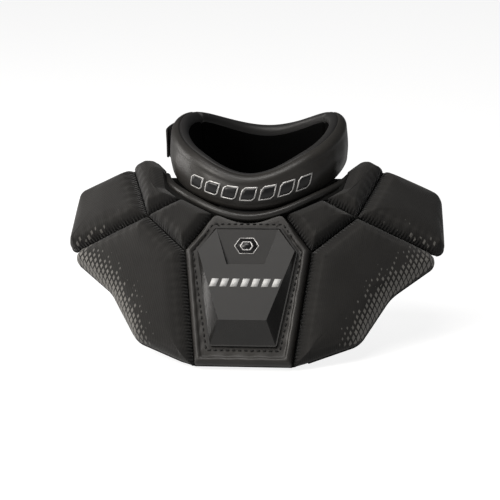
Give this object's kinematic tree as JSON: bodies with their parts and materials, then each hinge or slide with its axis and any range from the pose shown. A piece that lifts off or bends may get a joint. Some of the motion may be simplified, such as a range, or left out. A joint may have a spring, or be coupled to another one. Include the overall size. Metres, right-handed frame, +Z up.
{
  "type": "hockey goalkeeper's neck and collarbone guard",
  "caption": "Padded neck collar with a hook-and-loop back closure and a quilted bib of faceted pads that guards the throat, collarbones and upper chest.",
  "frame": {"origin": "middle of the neck opening, level with the lowest point of the collar's front rim", "axes": "+Z up along the neck, the chest faces -Y, +X is the wearer's left"},
  "size_m": [0.3524, 0.2391, 0.1956],
  "materials": {
    "collar_leather": "smooth synthetic leather, soft sheen",
    "panel_leather": "smooth synthetic leather, soft sheen",
    "piping_leather": "smooth synthetic leather over a cord",
    "foam": "closed-cell foam core, hidden by its cover",
    "brushed_liner": "brushed black lining",
    "cut_cloth": "cut-resistant cloth, hidden inside the collar",
    "mesh_liner": "black mesh lining",
    "moulded_shield": "moulded, satin to glossy black",
    "badge_print": "raised silver-edged transfer",
    "loop_tape": "loop side of a hook-and-loop closure",
    "hook_tape": "hook side of a hook-and-loop closure",
    "webbing": "black webbing",
    "knit_cover": "fine black knit with a grey lozenge print"
  },
  "bodies": {
    "collar": {"collar_badge": "badge_print", "collar_cover": "collar_leather", "collar_cut_layer": "cut_cloth", "collar_end_first": "collar_leather", "collar_end_last": "collar_leather", "collar_foam": "foam", "collar_liner": "brushed_liner", "collar_rim_binding": "collar_leather", "loop_patch": "loop_tape"},
    "neck_band": {"band_cover": "collar_leather", "band_cut_layer": "cut_cloth", "band_end_first": "collar_leather", "band_end_last": "collar_leather", "band_foam": "foam", "band_liner": "brushed_liner", "band_rim_binding": "collar_leather", "tab_root": "webbing"},
    "closure_tab": {"tab_hooks": "hook_tape", "tab_strap": "webbing"},
    "bib": {"neck_gusset": "webbing", "neck_piping": "piping_leather", "sternum_cover": "panel_leather", "sternum_foam": "foam", "sternum_liner": "mesh_liner", "sternum_shield": "moulded_shield"},
    "left_wing": {"left_chest_cover": "knit_cover", "left_chest_foam": "foam", "left_clavicle_cover": "knit_cover", "left_clavicle_foam": "foam", "left_neck_piping": "piping_leather", "left_shoulder_cover": "knit_cover", "left_shoulder_foam": "foam", "left_wing_liner": "mesh_liner"},
    "left_cap": {"left_cap_cover": "knit_cover", "left_cap_foam": "foam", "left_cap_liner": "mesh_liner"},
    "right_wing": {"right_chest_cover": "knit_cover", "right_chest_foam": "foam", "right_clavicle_cover": "knit_cover", "right_clavicle_foam": "foam", "right_neck_piping": "piping_leather", "right_shoulder_cover": "knit_cover", "right_shoulder_foam": "foam", "right_wing_liner": "mesh_liner"},
    "right_cap": {"right_cap_cover": "knit_cover", "right_cap_foam": "foam", "right_cap_liner": "mesh_liner"}
  },
  "joints": [
    {"name": "band_open", "type": "hinge", "parent": "collar", "child": "neck_band", "pos_m": [0.07279, 0.03904, 0.012], "axis": [0, 0, -1], "range_deg": [0, 60]},
    {"name": "tab_peel", "type": "hinge", "parent": "neck_band", "child": "closure_tab", "pos_m": [-0.07637, 0.04372, 0.012], "axis": [0, 0, -1], "range_deg": [0, 80]},
    {"name": "bib_tilt", "type": "hinge", "parent": "collar", "child": "bib", "pos_m": [0, -0.083, -0.035], "axis": [-1, 0, 0], "range_deg": [-2, 30], "stiffness_Nm_per_rad": 4},
    {"name": "left_wing_fold", "type": "hinge", "parent": "bib", "child": "left_wing", "pos_m": [0.0574, -0.09481, -0.06748], "axis": [-0.126, -0.499, -0.8574], "range_deg": [-2, 20], "stiffness_Nm_per_rad": 2.5},
    {"name": "right_wing_fold", "type": "hinge", "parent": "bib", "child": "right_wing", "pos_m": [-0.0574, -0.09481, -0.06748], "axis": [-0.126, 0.499, 0.8574], "range_deg": [-2, 20], "stiffness_Nm_per_rad": 2.5},
    {"name": "left_cap_lift", "type": "hinge", "parent": "left_wing", "child": "left_cap", "pos_m": [0.0963, -0.0655, -0.0428], "axis": [-0.331, -0.8229, -0.4619], "range_deg": [-10, 16], "stiffness_Nm_per_rad": 0.8},
    {"name": "right_cap_lift", "type": "hinge", "parent": "right_wing", "child": "right_cap", "pos_m": [-0.0963, -0.0655, -0.0428], "axis": [-0.331, 0.8229, 0.4619], "range_deg": [-10, 16], "stiffness_Nm_per_rad": 0.8}
  ]
}
